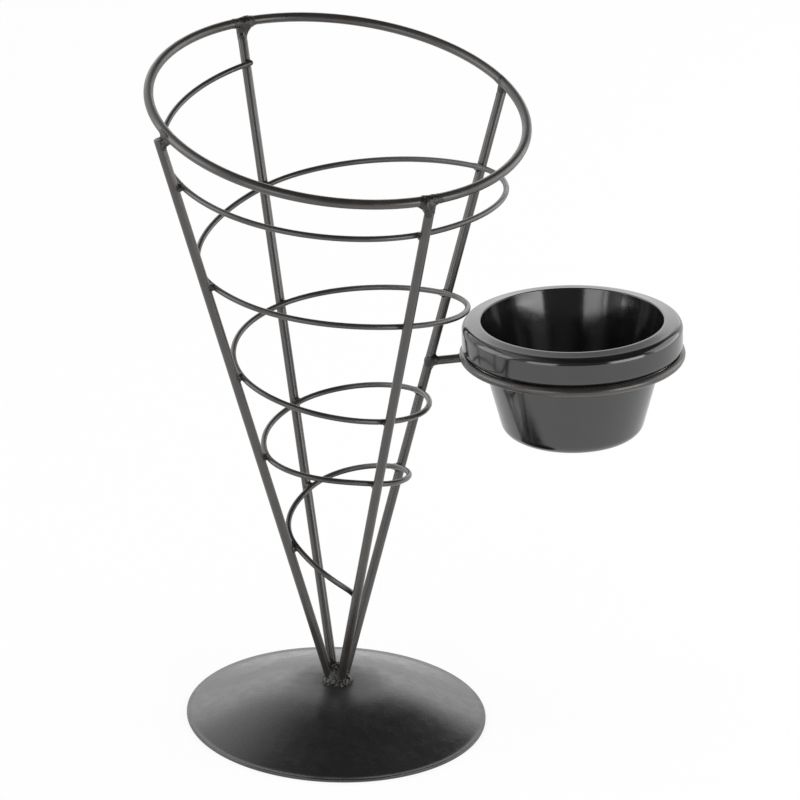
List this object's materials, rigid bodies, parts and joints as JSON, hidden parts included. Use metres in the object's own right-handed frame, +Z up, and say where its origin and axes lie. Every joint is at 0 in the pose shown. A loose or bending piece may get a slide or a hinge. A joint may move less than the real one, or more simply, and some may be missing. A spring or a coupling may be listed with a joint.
{
  "type": "wire cone basket with sauce cup",
  "caption": "Free-standing wire cone for fries: slanted rim ring, leaning uprights, conical spiral, domed base plate, and a side ring that holds a sauce cup.",
  "frame": {"origin": "middle of the base plate at table level", "axes": "+Z up, +X towards the sauce cup, +Y to the back"},
  "size_m": [0.1833, 0.124, 0.2354],
  "materials": {
    "coated_wire": "satin black powder coat",
    "coated_weld": "rough black powder coat over weld metal",
    "coated_base": "satin black powder coat",
    "cup": "glossy black"
  },
  "bodies": {
    "root": {"base_plate": "coated_base", "upright_back_left": "coated_wire", "upright_front_left": "coated_wire", "upright_front_right": "coated_wire", "upright_back_right": "coated_wire", "rim_ring": "coated_wire", "spiral_wire": "coated_wire", "rim_welds": "coated_weld", "spiral_welds": "coated_weld", "foot_weld": "coated_weld", "cup_ring": "coated_wire", "cup_ring_arm": "coated_wire", "cup_ring_welds": "coated_weld", "sauce_cup": "cup"}
  },
  "joints": []
}
